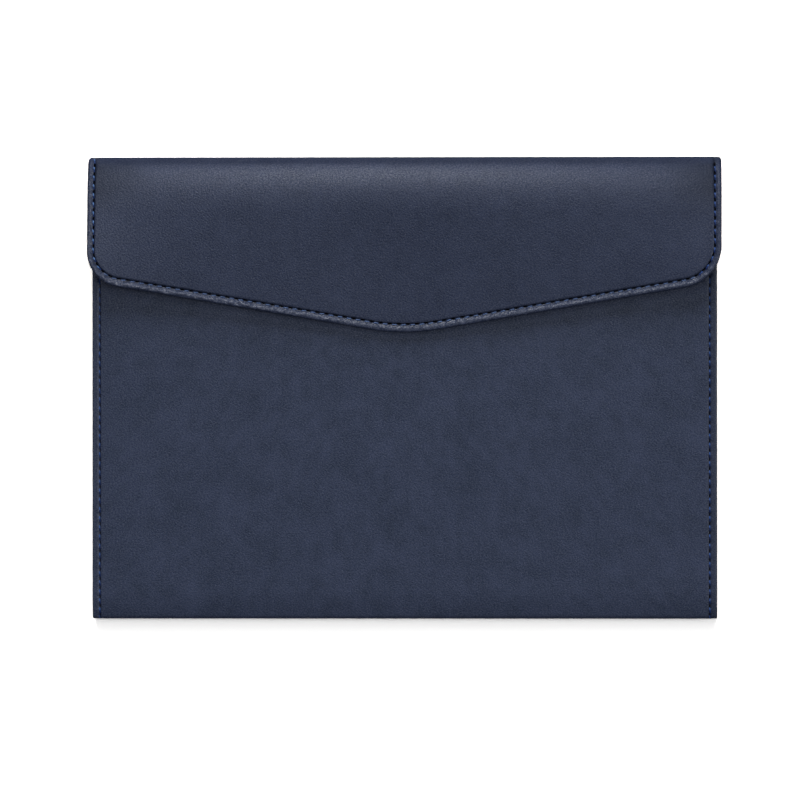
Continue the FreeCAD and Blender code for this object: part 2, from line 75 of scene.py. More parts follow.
HALF_SLEEVE = wrap_high.x
HALF_FLAP = flap_high.x
HALF_LINING = lining_high.x
TOP = spine_high.y
BOTTOM = wrap_low.y
FRONT_Z = wrap_high.z
FLAP_Z = flap_high.z
WALL = flap_high.z - flap_low.z
LEATHER = FRONT_Z - padding_high.z
LINING_DEPTH = FRONT_Z - lining_high.z
print(f"leather {LEATHER / MM:.2f} mm, flap {WALL / MM:.2f} mm, lining {LINING_DEPTH / MM:.2f} mm behind")

# %% Creases and hem
CREASE_RADIUS = spine_low.z
CREASE_Y = TOP - CREASE_RADIUS
CREASE_Z = spine_high.z
SPINE_MIDDLE_Z = (spine_low.z + spine_high.z) / 2
LEAD_Y = flap_high.y
HEM_Y = padding_high.y
HEM_RADIUS = LEATHER + (padding_high.z - padding_low.z) / 2
HEM_WIDTH = 10 * MM
print(f"crease radius {CREASE_RADIUS / MM:.2f} mm, hem radius {HEM_RADIUS / MM:.2f} mm")

# %% [markdown]
# ## Folded profiles
# Every sheet is flat leather or cloth that runs round folds. A Bend modifier or a cloth simulation could
# fold it, but neither ends exactly on the solids. So a sheet gets a profile, a line of runs and arcs in the
# YZ plane. A point of the flat pattern has x across, s along that line and a depth below the outer face.

# %% Runs and arcs
RUN_STEP = 0.5 * MM
ARC_STEP = 0.25 * MM


def straight(start, end, step=RUN_STEP):
    """Even points of a straight run."""
    count = max(2, math.ceil(math.dist(start, end) / step) + 1)
    return np.linspace(start, end, count)


def bend(centre, radius, first, last, step=ARC_STEP):
    """Points of a counter-clockwise arc from first to last, in degrees."""
    count = max(3, math.ceil(radius * math.radians(last - first) / step) + 1)
    angle = np.radians(np.linspace(first, last, count))
    return np.column_stack((centre[0] + radius * np.cos(angle), centre[1] + radius * np.sin(angle)))


# %% Profile
SAME_POINT = 1e-7


def step_lengths(line):
    return np.linalg.norm(np.diff(line, axis=0), axis=1)


def unit(rows):
    return rows / np.linalg.norm(rows, axis=1)[:, None]


class Profile:
    """A folded line with outward normals on the right of its run."""

    def __init__(self, *runs):
        points = np.vstack(runs)
        self.points = points[np.concatenate(([True], step_lengths(points) > SAME_POINT))]
        self.s = np.concatenate(([0], np.cumsum(step_lengths(self.points))))
        along = unit(np.gradient(self.points, self.s, axis=0))
        self.normals = np.column_stack((along[:, 1], -along[:, 0]))
        self.length = self.s[-1]

    def roll(self, x, s, depth):
        """Places of pattern points on the folded surface."""
        columns = (*self.points.T, *self.normals.T)
        y, z, normal_y, normal_z = (np.interp(s, self.s, column) for column in columns)
        return np.column_stack((np.broadcast_to(x, y.shape), y - normal_y * depth, z - normal_z * depth))

    def s_at(self, y, z):
        """Length along the profile at its point nearest to (y, z)."""
        return self.s[np.argmin(np.linalg.norm(self.points - (y, z), axis=1))]

# %% Wrap profile
FOLD_RADIUS = 1.4 * MM
FOLD_TILT = 8
ROLL_BELOW_PADDING = 3 * MM
ROLL_Y = padding_low.y - ROLL_BELOW_PADDING


def back_and_half_spine(depth):
    """The back crease and half of the spine, at a depth behind the outer face."""
    radius = CREASE_RADIUS - depth
    edge = TOP - depth
    return (
        bend((CREASE_Y, CREASE_RADIUS), radius, 270, 360),
        straight((edge, CREASE_RADIUS), (edge, SPINE_MIDDLE_Z)),
    )


def wrap_profile():
    """From the hem down the front, round the bottom and up to the spine."""
    tilt = math.radians(FOLD_TILT)
    fold_y = BOTTOM + FOLD_RADIUS
    roll_radius = (ROLL_Y - BOTTOM - FOLD_RADIUS * (1 - math.sin(tilt))) / math.sin(tilt)
    fold_z = FRONT_Z - (roll_radius - FOLD_RADIUS) * (1 - math.cos(tilt)) - FOLD_RADIUS
    hem_z = FRONT_Z - 2 * HEM_RADIUS
    return Profile(
        straight((HEM_Y - HEM_WIDTH, hem_z), (HEM_Y, hem_z)),
        bend((HEM_Y, FRONT_Z - HEM_RADIUS), HEM_RADIUS, -90, 90),
        straight((HEM_Y, FRONT_Z), (ROLL_Y, FRONT_Z)),
        bend((ROLL_Y, FRONT_Z - roll_radius), roll_radius, 90, 90 + FOLD_TILT),
        bend((fold_y, fold_z), FOLD_RADIUS, 90 + FOLD_TILT, 180),
        straight((BOTTOM, fold_z), (BOTTOM, FOLD_RADIUS)),
        bend((fold_y, FOLD_RADIUS), FOLD_RADIUS, 180, 270),
        straight((fold_y, 0), (CREASE_Y, 0)),
        *back_and_half_spine(0),
    )


wrap_path = wrap_profile()
print(f"wrap {wrap_path.length / MM:.1f} mm along its folds")


# %% Lining profile
def lining_profile():
    """From the hem down behind the front, round the pocket's bottom and up."""
    low_z, high_z = LINING_DEPTH, lining_high.z
    bend_radius = (high_z - low_z) / 2
    bend_y = lining_low.y + bend_radius
    return Profile(
        straight((HEM_Y - HEM_WIDTH, high_z), (bend_y, high_z)),
        bend((bend_y, low_z + bend_radius), bend_radius, 90, 270),
        straight((bend_y, low_z), (CREASE_Y, low_z)),
        *back_and_half_spine(LINING_DEPTH),
    )


lining_path = lining_profile()
print(f"lining {lining_path.length / MM:.1f} mm along its folds")

# %% Flap profile
# Each arc of the roll ends at a tilt in degrees and at a drop below the top edge.
ROLL_ARCS = ((0, TOP - LEAD_Y), (6, 15.5 * MM), (12.5, 8.8 * MM), (22.7, 3.5 * MM), (40, 1.1 * MM), (90, 0))
FLAP_SPARE = 10 * MM


def flap_profile():
    """From the spine over the top crease and down the flap, in ever gentler arcs."""
    arcs = []
    level = FLAP_Z
    for (low_tilt, low_drop), (high_tilt, high_drop) in zip(ROLL_ARCS, ROLL_ARCS[1:]):
        low, high = math.radians(low_tilt), math.radians(high_tilt)
        radius = (low_drop - high_drop) / (math.sin(high) - math.sin(low))
        centre = (TOP - low_drop - radius * math.sin(low), level - radius * math.cos(low))
        arcs.insert(0, bend(centre, radius, 90 - high_tilt, 90 - low_tilt))
        level = centre[1] + radius * math.cos(high)
    return Profile(
        straight((TOP, SPINE_MIDDLE_Z), (TOP, level)),
        *arcs,
        straight((LEAD_Y, FLAP_Z), (flap_low.y - FLAP_SPARE, FLAP_Z)),
    )


flap_path = flap_profile()
FLAT_START = flap_path.s_at(LEAD_Y, FLAP_Z)
print(f"flap {flap_path.length / MM:.1f} mm along its folds, flat from {FLAT_START / MM:.1f} mm")

# %% [markdown]
# ## Shader arithmetic
# Leather, cloth and thread are mixtures of noises, and a node tree holds every sum as a Math node. Nodes
# could be placed one by one, but a formula is easier to read. So a small class wraps a socket and turns
# Python's operators into Math nodes.


# %% Nodes and values
def add_node(tree, kind, settings=None, inputs=None):
    """A new node with its settings, and a value or a link for each named socket."""
    made = tree.nodes.new(kind)
    for name, value in (settings or {}).items():
        setattr(made, name, value)
    for name, value in (inputs or {}).items():
        if isinstance(value, bpy.types.NodeSocket):
            tree.links.new(value, made.inputs[name])
        else:
            made.inputs[name].default_value = value
    return made


class Value:
    """A socket of a shader's tree, with arithmetic that adds Math nodes."""

    def __init__(self, shader, socket):
        self.shader = shader
        self.socket = socket

    def math(self, operation, other, swapped=False):
        first, second = (other, self) if swapped else (self, other)
        return self.shader.node("Math", {"operation": operation}, {0: first, 1: second})

    def __add__(self, other):
        return self.math("ADD", other)

    def __sub__(self, other):
        return self.math("SUBTRACT", other)

    def __rsub__(self, other):
        return self.math("SUBTRACT", other, swapped=True)

    def __mul__(self, other):
        return self.math("MULTIPLY", other)

    __radd__ = __add__
    __rmul__ = __mul__


# %% Shader
# A Mix node has a set of sockets for each kind of value; these are the ones for colours.
MIX_FACTOR, MIX_FIRST, MIX_SECOND, MIX_RESULT = 0, 6, 7, 2


class Shader:
    """The node tree of a new material or world, with short ways to fill it."""

    def __init__(self, name, kind="materials"):
        self.owner = getattr(bpy.data, kind).new(name)
        self.owner.use_nodes = True
        self.tree = self.owner.node_tree
        self.tree.nodes.clear()

    def node(self, kind, settings=None, inputs=None, out=0):
        """Any shader node; out is the output that is used."""
        sockets = {}
        for name, value in (inputs or {}).items():
            sockets[name] = value.socket if isinstance(value, Value) else value
        made = add_node(self.tree, "ShaderNode" + kind, settings, sockets)
        return Value(self, made.outputs[out]) if len(made.outputs) else None

    def object_place(self):
        return self.node("TexCoord", out="Object")

    def flat_place(self):
        return self.node("UVMap", {"uv_map": "flat"})

    def edge(self):
        return self.node("Attribute", {"attribute_name": "edge"}, out="Fac")

    def ray(self, kind):
        return self.node("LightPath", out=kind)

    def noise(self, place, size, detail=2.0, roughness=0.5):
        """Smooth noise from 0 to 1 with features of about this size, in metres."""
        inputs = {"Vector": place, "Scale": 1 / size, "Detail": detail, "Roughness": roughness}
        return self.node("TexNoise", {}, inputs)

    def mix(self, factor, first, second):
        """A colour between two."""
        inputs = {MIX_FACTOR: factor, MIX_FIRST: first, MIX_SECOND: second}
        return self.node("Mix", {"data_type": "RGBA"}, inputs, MIX_RESULT)

    def bump(self, height, distance, strength=1.0):
        inputs = {"Height": height, "Distance": distance, "Strength": strength}
        return self.node("Bump", {}, inputs)

    def principled(self, inputs):
        """The finished material, with one Principled surface."""
        return self.finish(self.node("BsdfPrincipled", {}, inputs))

    def finish(self, surface, output="OutputMaterial"):
        """Link the surface to the output and give back the material or world."""
        self.node(output, {}, {"Surface": surface})
        return self.owner


# %% Colours
def linear(red, green, blue):
    """Screen values from 0 to 255 as the renderer's linear values."""
    parts = [value / 255 for value in (red, green, blue)]
    return tuple(p / 12.92 if p <= 0.04045 else ((p + 0.055) / 1.055) ** 2.4 for p in parts) + (1.0,)


# %% [markdown]
# ## Leather
# The outside is smooth navy leather: cloudy in tone, with a fine grain, pores that run aslant and a sheen
# that the grain breaks up. A photograph as a texture would bring its own light. So four noises drive tone,
# bump and coat. On the shells they read the flat cut, a UV map in metres, so the grain never stretches. The
# attribute "edge" darkens the leather where it is above 0: the dark cut edges, and painted shade in the
# seams' valleys, over the top crease and at the ends of the band of light. Below 0 it makes it glint. The
# flap's leather is a darker copy, painted shade of its drape.

# %% Leather
FRONT_TONES = (linear(36.7, 45.8, 66.3), linear(52.3, 61.2, 86.2))
# The flap's tones are the front's leather made darker: painted shade of a flap that drapes away from the
# light.
FLAP_PAINTED_SHADE_TONES = (linear(30.1, 38.2, 60.0), linear(40.3, 48.7, 72.3))
# Dark cut edges, and the colour of the painted shade that the edge tone lays in valleys and over the crease.
LEATHER_EDGE_AND_SHADE = linear(22, 27, 40)
LEATHER_SHINE = (0.74, 0.82, 1.0, 1.0)
CLOUD, SPOT, GRAIN, PORE = 18 * MM, 4.6 * MM, 0.85 * MM, 0.52 * MM
PORE_TURN = math.radians(40)
PORE_STRETCH = (0.72, 1.35, 1.0)
GRAIN_DEPTH = 0.26 * MM


def leather_material(name, tones, on_shell=True):
    """Leather on a shell's flat cut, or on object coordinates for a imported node."""
    shader = Shader(name)
    place = shader.flat_place() if on_shell else shader.object_place()
    turned = {"Vector": place, "Rotation": (0, 0, PORE_TURN), "Scale": PORE_STRETCH}
    clouds = shader.noise(place, CLOUD, 3.0, 0.6)
    spots = shader.noise(place, SPOT)
    grain = shader.noise(place, GRAIN, 2.0, 0.6)
    pores = shader.noise(shader.node("Mapping", {}, turned), PORE, 1.0)
    # Each noise lies about 0.5, so the number taken away brings a sum back to its middle.
    colour = shader.mix(clouds * 1.4 + spots * 1.1 + grain * 1.1 + pores * 2.0 - 2.3, *tones)
    coat = grain * 2.3 + pores * 3.9 - 2.65
    if on_shell:
        # Above 0 the edge tone gives dark cut edges and painted shade, and thins the coat there.
        edge = shader.edge()
        colour = shader.mix(edge, colour, LEATHER_EDGE_AND_SHADE)
        coat = coat * (1 - edge)
    return shader.principled({
        "Base Color": colour,
        "Roughness": grain * 0.08 + spots * 0.06 + 0.29,
        "Normal": shader.bump(grain * 0.7 + pores * 0.3, GRAIN_DEPTH),
        "Specular IOR Level": 0.5,
        "Specular Tint": LEATHER_SHINE,
        "Coat Weight": coat,
        "Coat Roughness": 0.36,
    })


leather = leather_material("navy_leather", FRONT_TONES)
# A darker copy of the leather for the flap, as painted shade.
flap_leather = leather_material("flap_navy_leather", FLAP_PAINTED_SHADE_TONES)
gusset_leather = leather_material("gusset_leather", FRONT_TONES, False)
print("leathers:", leather.name, flap_leather.name, gusset_leather.name)

# %% [markdown]
# ## Lining
# The linings are grey microfibre, a matt cloth with a short nap. Hair could make the nap, but thousands of
# fibres hardly show. So a slow noise stands for the nap and a fine one for the fibres, with a little sheen.

# %% Microfibre
CLOTH_TONES = (linear(48, 52, 62), linear(70, 75, 87))
NAP, FIBRE = 9 * MM, 0.35 * MM
FIBRE_DEPTH = 0.08 * MM


def lining_material():
    shader = Shader("microfibre")
    place = shader.flat_place()
    nap = shader.noise(place, NAP, 3.0, 0.6)
    fibre = shader.noise(place, FIBRE, 2.0, 0.7)
    return shader.principled({
        "Base Color": shader.mix(nap * 0.7 + fibre * 0.5 - 0.1, *CLOTH_TONES),
        "Roughness": fibre * 0.1 + 0.85,
        "Normal": shader.bump(fibre, FIBRE_DEPTH, 0.6),
        "Sheen Weight": 0.35,
        "Specular IOR Level": 0.2,
    })


microfibre = lining_material()
print("lining:", microfibre.name)

# %% [markdown]
# ## Thread
# The thread is glossy and blue, and deep blue in the shade where it dives into the leather. One flat blue
# would hide that. So the attribute "edge" turns it to the deep blue as painted shade, and three shades of
# thread paint the light on the stretches.

# %% Thread
THREAD_PAINTED_SHADE = linear(27, 47, 106)
THREAD_SHINE = (0.55, 0.75, 1.0, 1.0)
STRAND_FIBRE = 0.15 * MM
FINE_BUMP = 0.05 * MM


def thread_material(name, dark, light):
    """Twisted thread, with painted shade where it dives into the needle holes."""
    shader = Shader(name)
    fibre = shader.noise(shader.object_place(), STRAND_FIBRE, 2.0, 0.6)
    return shader.principled({
        "Base Color": shader.mix(shader.edge(), shader.mix(fibre, dark, light), THREAD_PAINTED_SHADE),
        "Roughness": fibre * 0.12 + 0.28,
        "Specular IOR Level": 0.8,
        "Specular Tint": THREAD_SHINE,
        "Normal": shader.bump(fibre, FINE_BUMP, 0.5),
    })


# One blue thread in three copies of painted light and shade: brightest down the flap's left side, muted at its
# point, darkest on the other seams.
flap_thread = thread_material("blue_thread", linear(54, 80, 126), linear(94, 132, 188))
point_thread = thread_material("muted_thread", linear(50, 66, 104), linear(96, 118, 162))
side_thread = thread_material("navy_thread", linear(35, 56, 108), linear(62, 94, 160))
print("threads:", flap_thread.name, point_thread.name, side_thread.name)

# %% [markdown]
# ## Inner surfaces
# Foam, fibre board, steel magnets and the needle holes, dark lenses of painted shade, hardly show, but an
# opened model has them. Each could have its own tree. They differ only in tone, grain, roughness and metal,
# so one function makes all.


# %% Plain surfaces
def plain_material(name, tones, size, roughness, metallic=0.0, shine=0.5):
    """A surface with a mottled tone and a fine bump."""
    shader = Shader(name)
    place = shader.object_place()
    coarse = shader.noise(place, size * 5, 3.0)
    fine = shader.noise(place, size, 2.0, 0.6)
    return shader.principled({
        "Base Color": shader.mix(coarse * 0.6 + fine * 0.4, *tones),
        "Roughness": fine * 0.12 + roughness,
        "Metallic": metallic,
        "Specular IOR Level": shine,
        "Normal": shader.bump(fine, FINE_BUMP, 0.5),
    })


# The needle holes are dark lenses: painted shade where the thread goes in, set a little towards the panel,
# into the shadow of its lip.
HOLE_SHADE_TONES = (linear(2, 3, 6), linear(6, 7, 12))
FOAM_TONES = (linear(38, 38, 40), linear(60, 60, 62))
BOARD_TONES = (linear(120, 108, 90), linear(150, 138, 118))
STEEL_TONES = (linear(150, 150, 152), linear(185, 185, 188))
painted_hole_shade = plain_material("needle_hole", HOLE_SHADE_TONES, size=0.3 * MM, roughness=0.9, shine=0.05)
foam = plain_material("padding_foam", FOAM_TONES, size=0.8 * MM, roughness=0.9)
fibre_board = plain_material("fibre_board", BOARD_TONES, size=0.6 * MM, roughness=0.85)
magnet_steel = plain_material("magnet_steel", STEEL_TONES, size=0.25 * MM, roughness=0.3, metallic=1.0)
print("materials:", len(bpy.data.materials))

# %% [markdown]
# ## Edge sections
# A sewn edge is rolled round, runs on as a bead, dips into the seam's valley and rises to the panel. A
# Bevel modifier gives one even round. So an edge is a section: pairs of inset from the cut edge and depth
# below the outer face, in millimetres, from the underside round to the panel.


# %% Edge sections
def edge_section(*pairs):
    """Insets and depths in metres, one row for each loop round the edge."""
    return MM * np.array(pairs)


UNDERSIDE = ((2.4, 2.86), (0.75, 2.86), (0.15, 2.60))
PANEL_RIM = (12.0, 0.0)
SLEEVE_EDGE = edge_section(
    (6.0, 0.88), (0.40, 0.88), (0.08, 0.80), (0.0, 0.55), (0.08, 0.28), (0.30, 0.12), (0.70, 0.05),
    (1.30, 0.04), (2.10, 0.05), (2.90, 0.10), (3.20, 0.62), (3.40, 0.38), (3.60, 0.12), (3.90, 0.02),
    (4.30, 0.0), (5.0, 0.0), PANEL_RIM,
)
SPINE_EDGE = edge_section(
    *UNDERSIDE, (0.0, 1.90), (0.08, 1.25), (0.30, 0.72), (0.70, 0.32), (1.20, 0.12), (1.80, 0.08),
    (2.40, 0.18), (3.00, 0.34), (3.30, 0.24), (3.65, 0.10), (4.20, 0.02), (5.0, 0.0), (6.5, 0.0), PANEL_RIM,
)
FLAP_EDGE = edge_section(
    *UNDERSIDE, (0.0, 1.40), (0.10, 0.62), (0.30, 0.30), (0.56, 0.12), (0.90, 0.05), (1.50, 0.16),
    (2.20, 0.40), (2.85, 0.80), (3.05, 0.62), (3.25, 0.28), (3.50, 0.05), (3.85, 0.0), (4.4, 0.0), PANEL_RIM,
)
POINT_EDGE = edge_section(
    *UNDERSIDE, (0.0, 1.40), (0.05, 0.40), (0.18, 0.06), (0.45, -0.13), (0.90, -0.22), (1.60, -0.15),
    (2.75, 0.22), (3.45, 0.80), (3.70, 0.60), (3.95, 0.26), (4.25, 0.05), (4.65, 0.0), (5.3, 0.0), PANEL_RIM,
)
VALLEY = 10
print("loops:", len(SLEEVE_EDGE), "valley of the sleeve's seam:", SLEEVE_EDGE[VALLEY] / MM, "mm")


# %% Tones and dents of the loops
def at_loops(first, *values):
    """Values for the loops from the first one on, and zero for the others."""
    loops = np.zeros(len(SLEEVE_EDGE))
    loops[first:first + len(values)] = values
    return loops


# Tones of the loops: the underside and cut edge are dark leather, the seam's valley is painted shade, and the
# sleeve's right edge is darker than its left as painted shade, since less light reaches it.
LEFT_EDGE_AND_SHADE = at_loops(0, 1, 1, 0.5, 0.1, 0, 0, 0.1, 0.15, 0.15, 0.2, 0.6, 0.8, 0.6, 0.2)
RIGHT_EDGE_AND_SHADE = at_loops(0, 1, 1, 1, 0.85, 0.6, 0.5, 0.42, 0.34, 0.26, 0.34, 1, 1, 1, 0.34)
FLAP_EDGE_AND_SHADE = at_loops(0, 1, 1, 0.8, 0.5, 0.15, 0.05, 0, 0, 0, 0, 0.4, 0.6, 0.4, 0.1)
BEAD_GLINT = at_loops(6, 0.3, 0.7, 0.9, 0.7)
BEAD_WRINKLE = at_loops(4, 0.5, 0.8, 1.0, 1.0, 1.0, 0.8)
PUCKER = at_loops(8, 0.15, 0.6, 1.0, 0.8, 0.3)
PUCKER_DEPTH = 0.16 * MM
STITCH_PITCH = 4.04 * MM


def pucker(distance):
    """How far the thread draws the seam in: most at the needle holes."""
    return -PUCKER_DEPTH * np.cos(2 * math.pi * distance / STITCH_PITCH)


print(f"pucker from {pucker(0) / MM:.2f} to {pucker(STITCH_PITCH / 2) / MM:.2f} mm")

# %% [markdown]
# ## Meshes
# The sheets are worked out as lists of points. Edit-mode operators could build them, but they depend on
# what is selected. So a mesh is filled straight from points and faces, and carries the flat pattern and the
# edge tone for its material.


# %% Mesh helpers
def add_object(name, data):
    made = bpy.data.objects.new(name, data)
    bpy.context.scene.collection.objects.link(made)
    return made


def make_piece(name, points, faces, flat, material, edge=None):
    """A smooth mesh with the flat pattern as its UV map and the edge tone, dark edges and painted shade, as an
    attribute.
    """
    mesh = bpy.data.meshes.new(name)
    mesh.from_pydata([tuple(point) for point in points], [], faces)
    layer = mesh.uv_layers.new(name="flat")
    corners = np.zeros(len(mesh.loops), int)
    mesh.loops.foreach_get("vertex_index", corners)
    layer.data.foreach_set("uv", np.asarray(flat, np.float32)[corners].ravel())
    tone = np.zeros(len(points)) if edge is None else edge
    attribute = mesh.attributes.new("edge", "FLOAT", "POINT")
    attribute.data.foreach_set("value", tone.astype(np.float32))
    mesh.polygons.foreach_set("use_smooth", [True] * len(mesh.polygons))
    mesh.materials.append(material)
    mesh.validate()
    return add_object(name, mesh)


def grid_faces(rows, columns, closed=False):
    """Quads between neighbouring rows of points; closed rows are rings."""
    row, column = (part.ravel() for part in np.mgrid[0:rows - 1, 0:columns if closed else columns - 1])
    first = row * columns + column
    after = row * columns + (column + 1) % columns
    return np.column_stack((first, after, after + columns, first + columns)).tolist()


def turned_over(faces):
    """The same faces seen from their other side."""
    return [tuple(face)[::-1] for face in faces]


def rolled_sheet(name, path, grid, material, outer, edge=None):
    """A sheet from rows of x, s and depth, rolled on a profile and seen from its outer or inner side."""
    x, s, depth = (part.ravel() for part in np.broadcast_arrays(*grid))
    faces = grid_faces(*grid[0].shape)
    if outer:
        faces = turned_over(faces)
    return make_piece(name, path.roll(x, s, depth), faces, np.column_stack((x, s)), material, edge)


def smooth_step(value, low, high):
    """An even rise from 0 at low to 1 at high."""
    share = np.clip((value - low) / (high - low), 0, 1)
    return share * share * (3 - 2 * share)

# %% [markdown]
# ## The wrap
# One leather makes the hem, the front, the bottom fold and the back. Two panels would be easier, but would
# show a joint. So the wrap is one grid, rolled on its profile. At the back crease it widens to the flap's
# width and its edge thickens to the spine's.

# %% Width and edge of the wrap
HEM_TAPER = (2 * MM, 3 * MM)
MOUTH_PULL = 1.5 * MM
WIDEN_LENGTH = 12 * MM
hem_end = wrap_path.s_at(HEM_Y + HEM_RADIUS, FRONT_Z - HEM_RADIUS)
mouth_end = wrap_path.s_at(HEM_Y - HEM_WIDTH, FRONT_Z)
wrap_widens = (wrap_path.s_at(CREASE_Y - WIDEN_LENGTH, 0), wrap_path.s_at(CREASE_Y, 0))


def wrap_half_width(s):
    """Half the width of the cut at each place along the wrap."""
    past_hem = smooth_step(s, hem_end - HEM_TAPER[0], hem_end + HEM_TAPER[1])
    half = HALF_LINING + (HALF_SLEEVE - HALF_LINING) * past_hem
    half -= MOUTH_PULL * (1 - smooth_step(s, hem_end, mouth_end)) * (s > hem_end)
    return half + (HALF_FLAP - HALF_SLEEVE) * smooth_step(s, *wrap_widens)


def wrap_edges(s):
    """Insets and depths of the edge section at each place along the wrap."""
    thick = smooth_step(s, *wrap_widens)[:, None]
    inset = SLEEVE_EDGE[:, 0] * (1 - thick) + SPINE_EDGE[:, 0] * thick
    depth = SLEEVE_EDGE[:, 1] * (1 - thick) + SPINE_EDGE[:, 1] * thick
    return inset, depth + PUCKER * pucker(s)[:, None]


print("half widths at the hem and the spine:", wrap_half_width(np.array([0, wrap_path.length])) / MM, "mm")

# %% Wrap leather
MIDDLE_COLUMNS = 12


def build_wrap():
    rows = math.ceil(wrap_path.length / RUN_STEP) + 1
    s = np.linspace(0, wrap_path.length, rows)
    half = wrap_half_width(s)[:, None]
    inset, depth = wrap_edges(s)
    middle = np.linspace(-1, 1, MIDDLE_COLUMNS + 2)[1:-1] * (half - SLEEVE_EDGE[-1, 0])
    x = np.hstack((-half + inset, middle, (half - inset)[:, ::-1]))
    depths = np.hstack((depth, np.zeros_like(middle), depth[:, ::-1]))
    # Dark cut edges and painted shade in the seam's valley, deeper on the right side.
    edge = np.tile(np.hstack((LEFT_EDGE_AND_SHADE, np.zeros(MIDDLE_COLUMNS), RIGHT_EDGE_AND_SHADE[::-1])), rows)
    return rolled_sheet("wrap_leather", wrap_path, (x, s[:, None], depths), leather, True, edge)


wrap = build_wrap()
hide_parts("outer_wrap", "back_crease")
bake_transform(wrap)
print("wrap:", len(wrap.data.polygons), "faces")

# %% [markdown]
# ## The flap's cut
# The flap has straight sides, round corners and a shallow point. Hand work shows: one corner is tighter,
# and the lower edge is slightly aslant. A traced curve would hold many points. So the cut is drawn flat
# from a few sizes, as lines and arcs.

# %% Flap outline
FLAP_SIDE = 55.2 * MM
FLAP_POINT = 78.85 * MM
FLAP_CORNER_RADII = (15.8 * MM, 19.0 * MM)
FLAP_POINT_RADIUS = 90 * MM
FLAP_SKEW = 0.002


def half_outline(radius, step=RUN_STEP):
    """The left half of the cut, from the top round the corner to the point."""
    to_s = FLAT_START + LEAD_Y
    corner_s = to_s - (TOP - FLAP_SIDE)
    point_s = to_s - (TOP - FLAP_POINT)
    slope = math.atan2(point_s - corner_s, HALF_FLAP)
    turn = 90 - math.degrees(slope)
    side_end = corner_s - radius * math.tan((math.pi / 2 - slope) / 2)
    corner = bend((0, 0), radius, 0, turn, step) * (-1, 1) + (radius - HALF_FLAP, side_end)
    tip = bend((0, 0), FLAP_POINT_RADIUS, turn, 90, step) * (-1, 1)
    tip += (0, point_s - FLAP_POINT_RADIUS / math.cos(slope))
    side = straight((-HALF_FLAP, 0), (-HALF_FLAP, side_end), step)
    return np.vstack((side, corner[1:], straight(corner[-1], tip[0], step)[1:], tip[1:]))


def flap_outline():
    """Points of the cut from top left to top right, and the inward direction at each."""
    left, right = (half_outline(radius) for radius in FLAP_CORNER_RADII)
    points = np.vstack((left, right[-2::-1] * (-1, 1)))
    points[:, 1] *= 1 + FLAP_SKEW * points[:, 0] / HALF_FLAP
    along = unit(np.gradient(points, axis=0))
    return points, np.column_stack((along[:, 1], -along[:, 0]))


outline, inward = flap_outline()
along_point = np.abs(inward[:, 1])
print(f"flap outline: {len(outline)} points, {outline[:, 1].max() / MM:.1f} mm long when flat")

# %% Flap edge and seam line
ROLL_END = (CREASE_Y - 6 * MM, FLAP_Z - 1 * MM)
on_spine = 1 - smooth_step(outline[:, 1], flap_path.s_at(TOP, CREASE_Z), flap_path.s_at(*ROLL_END))
sections = (
    SPINE_EDGE[:, None] * on_spine[:, None]
    + (FLAP_EDGE[:, None] * (1 - along_point[:, None]) + POINT_EDGE[:, None] * along_point[:, None])
    * (1 - on_spine[:, None])
)


def run_of(line):
    """Distance along a line of points, measured from its middle."""
    distance = np.concatenate(([0], np.cumsum(step_lengths(line))))
    return distance - distance[-1] / 2


seam_s = run_of(outline + inward * sections[VALLEY, :, :1])
print(f"flap seam {2 * seam_s[-1] / MM:.1f} mm")

# %% [markdown]
# ## The flap
# The flap is a soft tray with a wrinkled bead. Its corners stand off and its point is pressed down, so its
# shadow widens towards the corners. A Subdivision Surface would round the bead away. So loops at growing
# insets make the edge and the seam, and triangles fill the panel, closer together over the crease.

# %% Wrinkles and tones of the flap
WRINKLE_DEPTH = 0.12 * MM
WRINKLE_SEED = 5
WRINKLE_SHARE = (0.75, -0.35)
LEFT_GLINT = 0.4
# Painted shade: a darker tone over the top crease, and a darker tone with a thinner coat at the ends of the
# band of light.
CREASE_PAINTED_SHADE = 0.45
BAND_END_PAINTED_SHADE = 0.8
BAND_END = (0.74, 1.02)
BAND_DROP = (8 * MM, 24 * MM)
crease_span = (
    flap_path.s_at(TOP - 1.1 * MM, FLAP_Z - 3 * MM),
    flap_path.s_at(TOP - 4.5 * MM, FLAP_Z - 2 * MM),
)


def worn_depth(depth):
    """Depths of the loops, drawn in by the thread and wrinkled along the bead."""
    loops, count = depth.shape
    uneven = np.random.default_rng(WRINKLE_SEED).normal(size=(loops, count + 2))
    uneven = (uneven[:, :-2] + uneven[:, 1:-1] + uneven[:, 2:]) / math.sqrt(3)
    share = WRINKLE_SHARE[0] + WRINKLE_SHARE[1] * outline[:, 0] / HALF_FLAP
    drawn_in = depth + PUCKER[:, None] * pucker(seam_s)[None]
    return drawn_in + WRINKLE_DEPTH * share * BEAD_WRINKLE[:, None] * uneven


def edge_tone():
    """Tone of the flap's loops: dark cut edge and painted shade in the seam's valley, below zero where the
    bead glints.
    """
    glint = np.where(outline[:, 0] < 0, np.maximum(along_point, LEFT_GLINT), along_point)
    return (FLAP_EDGE_AND_SHADE[:, None] - BEAD_GLINT[:, None] * glint).ravel()


def crease_and_band_painted_shade(flat, edge_count):
    """Painted shade over the top crease and at both ends of the band of light, where the gleam fades."""
    past_crease = smooth_step(flat[:, 1], *crease_span)
    low, high = (crease_span[1] + drop for drop in BAND_DROP)
    ends = smooth_step(np.abs(flat[:, 0]), *(HALF_FLAP * share for share in BAND_END))
    ends[:edge_count] = 0
    in_band = past_crease * (1 - smooth_step(flat[:, 1], low, high))
    return CREASE_PAINTED_SHADE * (1 - past_crease) + BAND_END_PAINTED_SHADE * ends * in_band

# %% Panel of the flap
PANEL_STEP = 3 * MM
PANEL_COLUMNS = 48
RIM_ROOM = 2.5 * MM
SLOPE_ROOM = 1.03


